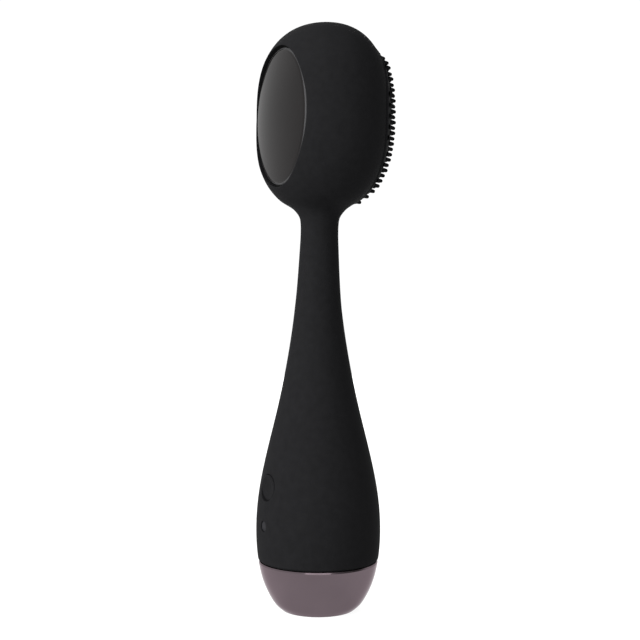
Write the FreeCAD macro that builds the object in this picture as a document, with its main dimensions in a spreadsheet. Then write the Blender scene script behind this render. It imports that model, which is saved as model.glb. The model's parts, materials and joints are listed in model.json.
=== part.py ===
"""Handheld facial scrubber with a heated massage stone, as a parametric FreeCAD document.

Millimetres, +Z up, origin at the centre of the end cap's flat foot.
The stone and the button look along +Y and the bristles along -Y.
"""
import FreeCAD, Part
import Sketcher
import math
import os
import re

Vector = FreeCAD.Vector
Rotation = FreeCAD.Rotation

# Radius of the round handle at each height, from the foot to the neck.
HANDLE_PROFILE = ((0, 11.35), (1, 12.55), (3.5, 14.5), (8, 16.7), (14, 18.3), (22, 19.1), (34, 18.55),
                  (48, 15.9), (62, 12.5), (78, 9.3), (95, 7.0), (110, 6.05), (116.5, 5.83),
                  (119, 5.95), (120.5, 6.3), (122, 7.3))

SIZES = {
    # head: a superellipse seen from the front, an ellipse in each level section
    "head_centre": 151.2, "head_half_height": 28.8, "head_half_width": 23.5, "head_half_depth": 19.85,
    "head_power": 2.45, "blend_power": 4.5, "lean_start": 92.5, "lean_slope": 0.0195,
    "foot_zone": 8,
    # walls
    "skin_thickness": 1.2, "shell_wall": 1.5, "metal_wall": 1.0, "seam_height": 14.8, "seam_gap": 0.15,
    "shell_split": 0.5, "shell_lift": 0.2,
    # stone and what lies behind it, along Y
    "stone_height": 150.5, "stone_half_width": 15.6, "stone_half_height": 20.8, "stone_rim": 13.3,
    "stone_tilt": 0.4, "stone_back": 9.2, "stone_top": 15.0, "dome_width": 34, "dome_depth": 15.6,
    "gasket_wall": 0.4, "fit_gap": 0.05, "film_thickness": 0.3, "spreader_thickness": 0.5,
    "foam_thickness": 1.0, "sensor_radius": 0.5, "sensor_length": 3, "sensor_pocket": 1.6,
    # brush
    "brush_half_width": 19.5, "brush_half_height": 26.5, "brush_height": 150.6, "bristle_radius": 0.55,
    "bristle_length": 1.75, "bristle_root": 0.6, "brush_raise": 0.5, "bristle_tilt": 8, "column_pitch": 2.7,
    "row_pitch": 3.3, "row_arch": 0.006, "brush_margin": 0.9, "brush_edge": 8,
    # vibration motor, standing in the head
    "motor_axis": -3.5, "motor_base": 132, "motor_length": 18, "motor_radius": 6.5, "can_wall": 0.5,
    "bell_thickness": 1.5, "shaft_radius": 0.75, "shaft_end": 158, "bush_radius": 1.5,
    "bush_length": 1.8, "magnet_inner": 4.6, "magnet_length": 12, "magnet_gap": 2.4,
    "armature_radius": 4.2, "armature_length": 9, "armature_base": 137.5, "winding_radius": 1.2,
    "winding_place": 3.1, "winding_overhang": 0.8, "commutator_radius": 1.6, "commutator_length": 2.4,
    "motor_brush_width": 1.6, "terminal_width": 1.6, "terminal_thickness": 0.4, "terminal_place": 3.5,
    "terminal_length": 2.2, "weight_radius": 5.2, "weight_length": 6, "weight_hub": 2.0,
    "sleeve_wall": 1.3, "sleeve_margin": 1, "cradle_width": 24, "cradle_thickness": 1.5,
    "cradle_rise": 2, "running_gap": 0.06, "magnet_rise": 1.5, "brush_rise": 0.6,
    "commutator_rise": 0.3, "shaft_rise": 0.3,
    # screws that close the shell
    "screw_head_radius": 1.9, "screw_head_height": 1.3, "screw_shank": 1.0, "boss_radius": 2.6,
    "screw_depth": 5, "head_screw_place": 10.8, "head_screw_height": 158, "head_screw_top": 7.0,
    "grip_screw_place": 6, "grip_screw_height": 63, "grip_screw_top": 7.0, "screw_clearance": 0.2,
    # battery cells, size AAA
    "cell_radius": 5.25, "cell_length": 44.5, "nub_radius": 2.75, "nub_height": 1.0, "cell_base": 6.5,
    "cell_place": 5.5, "holder_radius": 11.6, "holder_base": 8.2, "holder_length": 42.3,
    "cell_clearance": 0.1, "holder_flat": 6.6,
    "stop_height": 52.4, "stop_thickness": 1.5, "stop_radius": 11.2, "stop_flat": 6.5,
    "contact_radius": 4.0, "contact_thickness": 0.4, "tab_width": 3.0, "tab_end": 45.8,
    # circuit board and button, along Y
    "board_back": 7.6, "board_thickness": 1.0, "board_half_width": 7.0, "board_base": 23.2,
    "board_length": 23.8, "board_screw_place": 5.0, "board_screw_height": 43.4,
    "board_screw_head": 1.3, "board_screw_shank": 0.7, "board_screw_length": 3.4,
    "board_boss": 1.7, "button_height": 38.3, "button_radius": 3.9, "button_gap": 0.2,
    "button_face": 17.6, "button_root": 16.0, "dish_radius": 10.5, "dish_depth": 0.62,
    "key_radius": 3.7, "key_base": 12.5, "key_flange": 4.6, "key_flange_base": 13.0,
    "key_flange_height": 1.0, "switch_side": 6, "switch_height": 3, "plunger_radius": 1.7,
    "plunger_length": 1.0, "plunger_bore": 0.6, "chip_side": 4.5, "chip_height": 1.0,
    "chip_base": 30.4, "part_width": 1.2, "part_height": 0.7, "part_length": 1.9,
    "part_place": 3.4, "part_pitch": 1.9, "part_row_pitch": 2.6, "part_base": 28.4,
    "lamp_height": 26.8,
    "lamp_side": 1.6, "lamp_depth": 0.8, "lens_radius": 1.5, "lens_gap": 0.1, "lens_face": 18.9,
    "lens_root": 9.7, "lens_flange": 2.2, "lens_flange_base": 14.5, "lens_flange_height": 1,
    # screw-on end cap
    "collar_radius": 13.7, "collar_bore": 11.9, "collar_base": 8.0, "collar_top": 22.9,
    "collar_flange": 15.9, "collar_flange_height": 1.5, "rib_thickness": 1.0, "rib_gap": 0.1,
    "rib_bore": 12.4,
    "thread_lead": 12, "groove_floor": 12.6, "groove_width": 3.2, "groove_overrun": 0.6, "lug_height": 2.0,
    "lug_width": 3.6, "lug_reach": 12.8, "lug_root": 14.15, "lug_centre": 18.3, "sleeve_bore": 13.95,
    "sleeve_radius": 15.15, "sleeve_top": 20.1, "insert_foot": 10.0, "insert_bend": 12.8,
    "insert_bend_height": 3.5, "insert_shoulder": 14.5, "insert_shoulder_height": 6.2,
    "insert_side_base": 8.6, "insert_flange_base": 13.0, "insert_flange": 16.7,
    "insert_flange_top": 14.4, "insert_flange_rim": 17.0, "insert_floor": 4.1,
    "insert_floor_radius": 12.0, "insert_bore_base": 7.2,
    "pivot_radius": 1.5, "pivot_gap": 0.1, "pivot_length": 1.8, "ring_section": 0.5,
    "ring_height": 16.6, "carrier_radius": 11.3, "carrier_thickness": 1.6, "carrier_base": 4.2,
    "prong_half_width": 6.0, "prong_gap": 0.3, "prong_top": 18.0, "bridge_half_width": 8.0,
    "bridge_depth": 5.0, "bridge_thickness": 0.3, "spring_radius": 2.4,
    # leads
    "lead_radius": 0.45, "lead_gap": 0.1, "lead_bow": 0.4, "lead_run": 9, "lead_swing": 2,
    "lead_spread": 1.2, "lead_fan": 1.44, "motor_lead_place": 1.6, "heater_lead_place": 3.8,
    "grip_bend": 74, "neck_start": 92, "neck_end": 112, "head_bend": 121, "film_lead_place": 3.0,
    "film_bend": 129, "film_bend_depth": 4.6, "film_entry": 131.5, "film_entry_depth": 5.6,
    "film_end": 132.4, "film_gap": 0.15, "slot_half_width": 4.2, "slot_base": 130.6,
    "slot_top": 134.2,
}

doc = FreeCAD.newDocument("Scrubber")
sheet = doc.addObject("Spreadsheet::Sheet", "Sizes")
subparts = []


def fill_sheet():
    """Write every size into the spreadsheet as a plain number with its alias."""
    cells = dict(SIZES)
    for number, (height, radius) in enumerate(HANDLE_PROFILE):
        cells[f"station_height_{number}"] = height
        cells[f"station_radius_{number}"] = radius
    for row, (alias, value) in enumerate(cells.items(), 1):
        sheet.set(f"A{row}", alias)
        sheet.set(f"B{row}", str(value))
        sheet.setAlias(f"B{row}", alias)
    doc.recompute()


def size(alias):
    """Return the number in a named cell."""
    return float(sheet.get(alias))


def formula(text):
    """Return the text with every cell name looked up in the spreadsheet."""
    return re.sub(r"[a-z]+_\w+", r"Sizes.\g<0>", str(text))


def bind(item, **sizes):
    """Bind properties of an object to formulas."""
    for name, text in sizes.items():
        item.setExpression(name, formula(text))
    return item


def place(item, x=0, y=0, z=0):
    """Bind the three coordinates of an object's Placement to formulas."""
    for axis, text in (("x", x), ("y", y), ("z", z)):
        item.setExpression(f"Placement.Base.{axis}", formula(text))
    return item


def finish(item, label):
    """Name a finished sub-part and keep it for the export."""
    item.Label = label
    subparts.append(item)
    return item


# ---- plain solids and booleans -------------------------------------------------------------

FACING_Y = Rotation(Vector(1, 0, 0), -90)
OVAL_UPRIGHT = Rotation(Vector(1, 1, 1), -120)


def cylinder(radius, height, x=0, y=0, z=0, facing=None):
    """Cylinder standing on (x, y, z), along +Z or along the given rotation's Z."""
    item = doc.addObject("Part::Cylinder", "Cylinder")
    bind(item, Radius=radius, Height=height)
    if facing:
        item.Placement.Rotation = facing
    return place(item, x, y, z)


def box(width, depth, height, x=0, y=0, z=0):
    """Box centred on x, starting at y and z."""
    item = doc.addObject("Part::Box", "Box")
    bind(item, Length=width, Width=depth, Height=height)
    return place(item, f"{x} - ({width}) / 2", y, z)


def tube(outer, inner, height, y=0, z=0):
    """Upright tube."""
    return cut(cylinder(outer, height, y=y, z=z), cylinder(inner, height, y=y, z=z))


def oval(half_width, half_height, start, thickness, z):
    """Upright elliptical plate that runs along +Y from start."""
    outline = doc.addObject("Part::Ellipse", "Oval")
    bind(outline, MajorRadius=half_height, MinorRadius=half_width)
    outline.Placement.Rotation = OVAL_UPRIGHT
    place(outline, 0, start, z)
    plate = doc.addObject("Part::Extrusion", "Plate")
    plate.Base = outline
    plate.DirMode = "Custom"
    plate.Dir = Vector(0, 1, 0)
    plate.Solid = True
    return bind(plate, LengthFwd=thickness)


def join(*items):
    """Fuse of several solids."""
    item = doc.addObject("Part::MultiFuse", "Join")
    item.Shapes = items
    return item


def cut(base, *tools):
    """Base less the tools."""
    item = doc.addObject("Part::Cut", "Cut")
    item.Base = base
    item.Tool = tools[0] if len(tools) == 1 else join(*tools)
    return item


def common(base, tool):
    """What two solids share."""
    item = doc.addObject("Part::Common", "Common")
    item.Base = base
    item.Tool = tool
    return item


def group(*items):
    """Several separate solids in one sub-part."""
    item = doc.addObject("Part::Compound", "Group")
    item.Links = items
    return item


# ---- bodies made from sketches ---------------------------------------------------------------

def outline_sketch(body, plane_role, points):
    """Closed polygon on one of the body's origin planes, each corner bound to two formulas."""
    sketch = body.newObject("Sketcher::SketchObject", "Outline")
    plane = [item for item in body.Origin.OriginFeatures if item.Role == plane_role][0]
    sketch.AttachmentSupport = (plane, [""])
    sketch.MapMode = "FlatFace"
    corners = len(points)
    for number in range(corners):
        start = Vector(number, number * number, 0)
        following = (number + 1) % corners
        sketch.addGeometry(Part.LineSegment(start, Vector(following, following * following, 0)))
    for number, (across, up) in enumerate(points):
        following = (number + 1) % corners
        sketch.addConstraint(Sketcher.Constraint("Coincident", number, 2, following, 1))
        for kind, text, axis in (("DistanceX", across, -2), ("DistanceY", up, -1)):
            if text == 0:
                sketch.addConstraint(Sketcher.Constraint("PointOnObject", number, 1, axis))
                continue
            index = sketch.addConstraint(Sketcher.Constraint(kind, -1, 1, number, 1, 1.0))
            sketch.setExpression(f"Constraints[{index}]", formula(text))
    return sketch


def turned(points):
    """Body turned about Z from corners given as (radius, height)."""
    body = doc.addObject("PartDesign::Body", "Turned")
    sketch = outline_sketch(body, "XZ_Plane", points)
    feature = body.newObject("PartDesign::Revolution", "Revolution")
    feature.Profile = sketch
    feature.ReferenceAxis = (sketch, ["V_Axis"])
    feature.Angle = 360
    sketch.Visibility = False
    return body


# ---- outer form ---------------------------------------------------------------------------------

HEAD_SECTIONS = 22
FIRST_HEAD_SECTION = 2


def form(inset):
    """Solid of the whole grip and head, with every surface moved in by the inset."""
    sections = []

    def add_section(half_width, half_depth, height):
        section = doc.addObject("Part::Ellipse", "Section")
        bind(section, MajorRadius=half_width, MinorRadius=half_depth)
        lean = f"-lean_slope * max(0; {height} - lean_start)"
        sections.append(place(section, 0, lean, height))

    for number in range(len(HANDLE_PROFILE)):
        radius = f"station_radius_{number} - {inset}"
        foot_rise = f"{inset} * max(0; 1 - station_height_{number} / foot_zone)"
        add_section(radius, radius, f"(station_height_{number} + {foot_rise})")
    neck = f"station_radius_{len(HANDLE_PROFILE) - 1} - {inset}"
    for number in range(FIRST_HEAD_SECTION, HEAD_SECTIONS):
        level = -math.cos(math.pi * number / HEAD_SECTIONS)
        profile = f"pow(1 - pow({abs(level):.4f}; head_power); 1 / head_power)"
        radii = [f"(head_half_width - {inset}) * {profile}", f"(head_half_depth - {inset}) * {profile}"]
        if level < 0:
            radii = [f"pow(pow({radius}; blend_power) + pow({neck}; blend_power); 1 / blend_power)"
                     for radius in radii]
        add_section(*radii, f"(head_centre + {level:.4f} * (head_half_height - {inset}))")
    apex = doc.addObject("Part::Vertex", "Apex")
    height = f"(head_centre + head_half_height - {inset})"
    place(apex, 0, f"-lean_slope * max(0; {height} - lean_start)", height)
    loft = doc.addObject("Part::Loft", "Form")
    loft.Sections = sections + [apex]
    loft.Solid = True
    return loft


def brush_face(across, up):
    """Depth of the brush pad's face at a place seen from the front."""
    centre = size("head_centre")
    raised = size("brush_raise")
    level = abs(up - centre) / (size("head_half_height") + raised)
    profile = (1 - level ** size("head_power")) ** (1 / size("head_power"))
    reach = across / ((size("head_half_width") + raised) * profile)
    lean = size("lean_slope") * (up - size("lean_start"))
    return -lean - (size("head_half_depth") + raised) * profile * math.sqrt(1 - reach ** 2)


REACH = 60
HEAD_TOP = 200


def slab(start, height):
    """Wide block between two heights."""
    return box(REACH, REACH, height, y=-REACH / 2, z=start)


# ---- soft skin, brush and stone -------------------------------------------------------------------

def add_skin(outer, skin_inner):
    """Silicone skin with openings for the stone, the brush pad, the button and the lamp."""
    finish(cut(
        outer,
        slab(-1, "seam_height + seam_gap + 1"),
        skin_inner,
        well(0, 0),
        oval("brush_half_width", "brush_half_height", -REACH / 2, f"{REACH / 2} - brush_edge",
             "brush_height"),
        cylinder("button_radius + button_gap", REACH / 2, z="button_height", facing=FACING_Y),
        cylinder("lens_radius + lens_gap", REACH / 2, z="lamp_height", facing=FACING_Y),
    ), "silicone_skin")


def add_brush(raised, skin_inner):
    """Pad of the brush, a little proud of the skin, with staggered bristles in arched rows."""
    window = oval("brush_half_width - fit_gap", "brush_half_height - fit_gap",
                  -REACH / 2, f"{REACH / 2} - brush_edge", "brush_height")
    pad = cut(common(raised, window), skin_inner)
    doc.recompute()
    tilt = math.radians(size("bristle_tilt"))
    outward = Vector(0, -math.cos(tilt), -math.sin(tilt))
    length = size("bristle_root") + size("bristle_length")
    limits = [size(name) - size("brush_margin") for name in ("brush_half_width", "brush_half_height")]
    columns = int(limits[0] / size("column_pitch")) + 1
    rows = int(limits[1] / size("row_pitch")) + 2
    bristles = []
    for column in range(-columns, columns):
        stagger = 0.5 * (column % 2)
        across = (column + 0.5) * size("column_pitch")
        for row in range(-rows, rows + 1):
            up = (row + stagger) * size("row_pitch") - size("row_arch") * across ** 2
            if (across / limits[0]) ** 2 + (up / limits[1]) ** 2 > 1:
                continue
            up += size("brush_height")
            root = Vector(across, brush_face(across, up), up) - outward * size("bristle_root")
            bristles.append(Part.makeCylinder(size("bristle_radius"), length, root, outward))
    brush = doc.addObject("Part::Feature", "Brush")
    brush.Shape = pad.Shape.fuse(bristles)
    finish(brush, "brush_pad")


def tilted(item):
    """Lean a solid made about +Y back with the face of the stone."""
    whole = group(item)
    whole.Placement.Rotation = Rotation(Vector(1, 0, 0), size("stone_tilt"))
    turn = "cos(stone_tilt)"
    slope = "sin(stone_tilt)"
    return place(whole, 0, f"stone_rim * (1 - {turn}) + stone_height * {slope}",
                 f"stone_height * (1 - {turn}) - stone_rim * {slope}")


def add_stone():
    """Domed oval stone on its gasket, with the heating layers behind it."""
    plate = oval("stone_half_width", "stone_half_height", "stone_back", "stone_top", "stone_height")
    dome = doc.addObject("Part::Ellipsoid", "Dome")
    bind(dome, Radius1="dome_width * stone_half_height / stone_half_width",
         Radius2="dome_width", Radius3="dome_depth")
    dome.Angle1 = -90
    place(dome, 0, "stone_top - dome_depth", "stone_height")
    finish(tilted(common(plate, dome)), "massage_stone")

    finish(tilted(cut(
        oval("stone_half_width + gasket_wall + fit_gap", "stone_half_height + gasket_wall + fit_gap",
             "stone_back", "stone_rim - stone_back - gasket_wall", "stone_height"),
        oval("stone_half_width + fit_gap", "stone_half_height + fit_gap",
             "stone_back - 1", "stone_top", "stone_height"),
    )), "stone_gasket")

    slot = box("2 * slot_half_width", "stone_back - film_thickness - 2 * fit_gap", "slot_top - slot_base",
               z="slot_base")
    finish(tilted(oval("stone_half_width", "stone_half_height", "stone_back - film_thickness",
                       "film_thickness", "stone_height")), "heater_film")
    back = "stone_back - film_thickness - spreader_thickness"
    finish(tilted(cut(oval("stone_half_width", "stone_half_height", back, "spreader_thickness",
                           "stone_height"), slot)), "heat_spreader")
    finish(tilted(cut(
        oval("stone_half_width", "stone_half_height", f"{back} - foam_thickness", "foam_thickness",
             "stone_height"),
        slot,
        box("sensor_length + 2 * sensor_radius", "stone_back", "sensor_pocket",
            z="stone_height - sensor_pocket / 2"),
    )), "stone_foam")
    sensor = cylinder("sensor_radius", "sensor_length", "-sensor_length / 2",
                      f"{back} - sensor_radius", "stone_height", Rotation(Vector(0, 1, 0), 90))
    finish(tilted(sensor), "heat_sensor")
    return tilted(slot)


def well(margin, depth):
    """Tilted oval space for the stone, from a depth outwards, wider than its seat by the margin."""
    return tilted(oval(f"stone_half_width + gasket_wall + 2 * fit_gap + {margin}",
                       f"stone_half_height + gasket_wall + 2 * fit_gap + {margin}", depth, REACH,
                       "stone_height"))


# ---- hard shell -----------------------------------------------------------------------------------

def screw_places():
    """The four shell screws as (x, y of the head's top, z) formulas."""
    return [(f"{side} * {name}_screw_place", f"{name}_screw_top", f"{name}_screw_height")
            for name in ("head", "grip") for side in (1, -1)]


def add_shell(skin_inner, shell_inner, slot):
    """Hard shell in two halves that meet near the axis, with bosses, ribs and the stone's seat."""
    seat = "stone_back - film_thickness - spreader_thickness - foam_thickness"
    bosses = [cylinder("boss_radius", REACH, x, -REACH / 2, z, FACING_Y) for x, _, z in screw_places()]
    board_bosses = [
        cylinder("board_boss", REACH / 4, f"{side} * board_screw_place",
                 "board_back + board_thickness", "board_screw_height", FACING_Y) for side in (1, -1)]
    ribs = [
        tube(REACH / 2, "collar_flange - shell_wall / 2", "rib_thickness",
             z="collar_top - collar_flange_height - rib_gap - rib_thickness"),
        tube(REACH / 2, "rib_bore", "rib_thickness", z="collar_top + rib_gap"),
    ]
    cradles = [
        cut(box("cradle_width", REACH, "cradle_thickness", y=-REACH / 2, z=f"motor_base + {height}"),
            cylinder("motor_radius + sleeve_wall + fit_gap", REACH, y="motor_axis", z="neck_end"))
        for height in ("cradle_rise", "motor_length - 2 * cradle_rise")]
    cavity = cut(shell_inner, well("shell_wall", f"{seat} - shell_wall"), *bosses, *board_bosses,
                 *ribs, *cradles)
    holes = [slab(-1, "seam_height + seam_gap + shell_lift + 1"), well(0, seat), slot]
    holes.append(cylinder("button_radius + button_gap", REACH / 2, z="button_height",
                          facing=FACING_Y))
    holes.append(cylinder("lens_radius + lens_gap", REACH / 2, z="lamp_height", facing=FACING_Y))
    for x, y, z in screw_places():
        holes.append(cylinder("screw_head_radius + screw_clearance", REACH / 2, x,
                              f"{y} - screw_head_height - screw_clearance / 2", z, FACING_Y))
        holes.append(cylinder("screw_shank + screw_clearance", f"{y}", x, 0, z, FACING_Y))
        holes.append(cylinder("screw_shank", "screw_depth", x, "-screw_depth", z, FACING_Y))
    for side in (1, -1):
        holes.append(cylinder("board_screw_shank", "board_screw_length",
                              f"{side} * board_screw_place", "board_back + board_thickness",
                              "board_screw_height", FACING_Y))
    shell = cut(skin_inner, cavity, *holes)
    finish(common(shell, box(REACH, REACH, HEAD_TOP, y="shell_split")), "shell_stone_half")
    finish(common(shell, box(REACH, REACH, HEAD_TOP, y=f"shell_split - {REACH}")), "shell_brush_half")

    screws = [join(
        cylinder("screw_head_radius", "screw_head_height", x, f"{y} - screw_head_height", z, FACING_Y),
        cylinder("screw_shank", f"{y} + screw_depth - screw_clearance", x,
                 "screw_clearance - screw_depth", z, FACING_Y))
        for x, y, z in screw_places()]
    finish(group(*screws), "shell_screws")


# ---- vibration motor ------------------------------------------------------------------------------

def on_motor(item):
    """Move a body made about Z onto the motor's axis."""
    return place(item, 0, "motor_axis", "motor_base")


def on_shaft(radius, length, height, around="motor_axis"):
    """Cylinder on the motor's axis."""
    return cylinder(radius, length, y=around, z=height)


def add_motor():
    """Fixed pieces of the motor."""
    finish(on_motor(turned([
        ("motor_radius", 0), ("motor_radius", "motor_length"), ("bush_radius", "motor_length"),
        ("bush_radius", "motor_length - can_wall"),
        ("motor_radius - can_wall", "motor_length - can_wall"), ("motor_radius - can_wall", 0),
    ])), "motor_can")
    finish(on_motor(turned([
        ("bush_radius", "motor_length - can_wall - bush_length / 2"),
        ("bush_radius", "motor_length + bush_length / 2"),
        ("shaft_radius + running_gap", "motor_length + bush_length / 2"),
        ("shaft_radius + running_gap", "motor_length - can_wall - bush_length / 2"),
    ])), "motor_bush")
    finish(on_motor(turned([
        ("motor_radius - can_wall", 0), ("motor_radius - can_wall", "bell_thickness"),
        ("shaft_radius + running_gap", "bell_thickness"), ("shaft_radius + running_gap", 0),
    ])), "motor_end_bell")
    finish(cut(
        tube("motor_radius - can_wall", "magnet_inner", "magnet_length", "motor_axis",
             "motor_base + bell_thickness + magnet_rise"),
        box("magnet_gap", REACH, REACH, y=-REACH / 2, z="motor_base"),
    ), "motor_magnets")
    finish(tube("motor_radius + sleeve_wall", "motor_radius + fit_gap",
                "motor_length - 2 * sleeve_margin", "motor_axis", "motor_base + sleeve_margin"),
           "motor_sleeve")
    brush_start = "commutator_radius + running_gap"
    finish(group(*[
        box("motor_brush_width", "motor_brush_width / 2", "motor_brush_width",
            f"{side} * ({brush_start} + motor_brush_width / 2)",
            "motor_axis - motor_brush_width / 4", "motor_base + bell_thickness + brush_rise")
        for side in (1, -1)]), "motor_brushes")
    finish(group(*[
        box("terminal_width", "terminal_thickness", "terminal_length",
            f"{side} * terminal_place", "motor_axis", "motor_base - terminal_length")
        for side in (1, -1)]), "motor_terminals")


def add_rotor():
    """Turning pieces of the motor."""
    finish(on_shaft("shaft_radius", "shaft_end - motor_base - shaft_rise", "motor_base + shaft_rise"),
           "motor_shaft")
    slots = []
    windings = []
    for number in range(3):
        angle = math.radians(120 * number + 90)
        x = f"winding_place * {math.cos(angle):.4f}"
        y = f"motor_axis + winding_place * {math.sin(angle):.4f}"
        slots.append(cylinder("winding_radius", "armature_length", x, y, "armature_base"))
        windings.append(cylinder("winding_radius", "armature_length + 2 * winding_overhang", x, y,
                                 "armature_base - winding_overhang"))
    finish(cut(on_shaft("armature_radius", "armature_length", "armature_base"),
               on_shaft("shaft_radius", "armature_length", "armature_base"), *slots),
           "motor_armature")
    finish(group(*windings), "motor_windings")
    finish(tube("commutator_radius", "shaft_radius", "commutator_length", "motor_axis",
                "motor_base + bell_thickness + commutator_rise"), "commutator")
    weight_base = "shaft_end - weight_length"
    finish(cut(
        join(
            common(on_shaft("weight_radius", "weight_length", weight_base),
                   box(REACH, REACH, REACH, y="motor_axis", z=weight_base)),
            on_shaft("weight_hub", "weight_length", weight_base),
        ),
        on_shaft("shaft_radius", "weight_length", weight_base),
    ), "eccentric_weight")


# ---- battery ----------------------------------------------------------------------------------------

def add_battery():
    """Two cells side by side, one each way up, with their holder and upper contacts."""
    for name, side in (("left", -1), ("right", 1)):
        x = f"{side} * cell_place"
        case_base = "cell_base" if side < 0 else "cell_base + nub_height"
        nub_base = "cell_base + cell_length - nub_height" if side < 0 else "cell_base"
        finish(join(
            cylinder("cell_radius", "cell_length - nub_height", x, 0, case_base),
            cylinder("nub_radius", "nub_height", x, 0, nub_base),
        ), f"battery_cell_{name}")
    bores = [cylinder("cell_radius + cell_clearance", REACH, f"{side} * cell_place")
             for side in (1, -1)]
    finish(cut(
        cylinder("holder_radius", "holder_length", z="holder_base"),
        box(REACH, REACH, REACH, y="holder_flat"),
        *bores,
    ), "battery_holder")
    finish(cut(
        cylinder("stop_radius", "stop_thickness", z="stop_height"),
        box(REACH, REACH, REACH, y="stop_flat", z="stop_height - stop_thickness"),
    ), "battery_stop")
    contact_top = "cell_base + cell_length"
    finish(group(*[
        join(
            cylinder("contact_radius", "stop_height - cell_base - cell_length",
                     f"{side} * cell_place", 0, contact_top),
            box("tab_width", "board_back", "contact_thickness", f"{side} * cell_place", 0,
                contact_top),
            box("tab_width", "contact_thickness", "cell_base + cell_length - tab_end",
                f"{side} * cell_place", "board_back - contact_thickness", "tab_end"),
        ) for side in (1, -1)]), "battery_contacts")


# ---- circuit board and button ---------------------------------------------------------------------

def add_board():
    """Circuit board with its chip, small parts, lamp, switch and screws."""
    body = doc.addObject("PartDesign::Body", "Board")
    sketch = outline_sketch(body, "XZ_Plane", [
        ("-board_half_width", "board_base"), ("board_half_width", "board_base"),
        ("board_half_width", "board_base + board_length"),
        ("-board_half_width", "board_base + board_length")])
    for number, side in enumerate((1, -1), 4):
        sketch.addGeometry(Part.Circle(Vector(side, 40, 0), Vector(0, 0, 1), 1))
        for kind, text in (("DistanceX", f"{side} * board_screw_place"),
                           ("DistanceY", "board_screw_height")):
            index = sketch.addConstraint(Sketcher.Constraint(kind, -1, 1, number, 3, 1.0))
            sketch.setExpression(f"Constraints[{index}]", formula(text))
        index = sketch.addConstraint(Sketcher.Constraint("Radius", number, 1.0))
        sketch.setExpression(f"Constraints[{index}]", formula("board_screw_shank + fit_gap"))
    pad = body.newObject("PartDesign::Pad", "Pad")
    pad.Profile = sketch
    bind(pad, Length="board_thickness")
    pad.Reversed = True
    sketch.Visibility = False
    finish(place(body, 0, "board_back", 0), "control_board")

    face = "board_back + board_thickness"
    finish(box("chip_side", "chip_height", "chip_side", 0, face, "chip_base"),
           "controller_chip")
    finish(group(*[
        box("part_width", "part_height", "part_length", f"{side} * ({column} * part_pitch + part_place)",
            face, f"part_base + {row} * part_row_pitch")
        for side in (1, -1) for column in (0, 1) for row in (0, 1)]), "board_components")
    finish(box("lamp_side", "lamp_depth", "lamp_side", 0, face, "lamp_height - lamp_side / 2"),
           "status_lamp")
    finish(join(
        cylinder("lens_radius", "lens_face - lens_root", 0, "lens_root", "lamp_height", FACING_Y),
        cylinder("lens_flange", "lens_flange_height", 0, "lens_flange_base", "lamp_height", FACING_Y),
    ), "indicator_lens")
    finish(cut(
        box("switch_side", "switch_height", "switch_side", 0, face,
            "button_height - switch_side / 2"),
        cylinder("plunger_radius + lens_gap", "plunger_bore", 0,
                 f"{face} + switch_height - plunger_bore", "button_height", FACING_Y),
    ), "switch_body")
    screws = []
    for side in (1, -1):
        x = f"{side} * board_screw_place"
        screws.append(join(
            cylinder("board_screw_head", "board_back - holder_flat - screw_clearance / 2", x,
                     "holder_flat + screw_clearance / 2", "board_screw_height", FACING_Y),
            cylinder("board_screw_shank", "board_screw_length", x, "board_back",
                     "board_screw_height", FACING_Y)))
    finish(group(*screws), "board_screws")


def add_button():
    """Dished silicone button, the hard key under it and the switch's plunger."""
    bowl = doc.addObject("Part::Sphere", "Bowl")
    bind(bowl, Radius="dish_radius")
    place(bowl, 0, "button_face - dish_depth + dish_radius", "button_height")
    finish(cut(
        cylinder("button_radius", "button_face - button_root", 0, "button_root", "button_height",
                 FACING_Y),
        bowl,
    ), "button_pad")
    finish(join(
        cylinder("key_radius", "button_root - key_base", 0, "key_base", "button_height", FACING_Y),
        cylinder("key_flange", "key_flange_height", 0, "key_flange_base", "button_height", FACING_Y),
    ), "button_key")
    finish(cylinder("plunger_radius", "plunger_length", 0, "key_base - plunger_length",
                    "button_height", FACING_Y), "switch_plunger")


# ---- screw-on end cap -------------------------------------------------------------------------------

THREAD_STARTS = 2


def groove(start):
    """Helical groove that one lug of the cap runs in, open at the collar's lower end."""
    lead = size("thread_lead")
    top = size("lug_centre") + size("groove_overrun")
    bottom = size("collar_base") - size("groove_width")
    turn = 360 * (bottom - size("lug_centre")) / lead + 360 / THREAD_STARTS * start
    around = Rotation(Vector(0, 0, 1), turn)
    helix = doc.addObject("Part::Helix", "Helix")
    bind(helix, Pitch="thread_lead", Radius="collar_radius")
    helix.Height = top - bottom
    helix.Placement = FreeCAD.Placement(Vector(0, 0, bottom), around)
    profile = doc.addObject("Part::Plane", "Profile")
    bind(profile, Length="collar_radius - groove_floor + 1", Width="groove_width")
    corner = Vector(size("groove_floor"), 0, bottom - size("groove_width") / 2)
    upright = Rotation(Vector(1, 0, 0), 90)
    profile.Placement = FreeCAD.Placement(around.multVec(corner), around.multiply(upright))
    sweep = doc.addObject("Part::Sweep", "Groove")
    sweep.Sections = [profile]
    sweep.Spine = (helix, ["Edge1"])
    sweep.Frenet = True
    sweep.Solid = True
    return sweep


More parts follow.
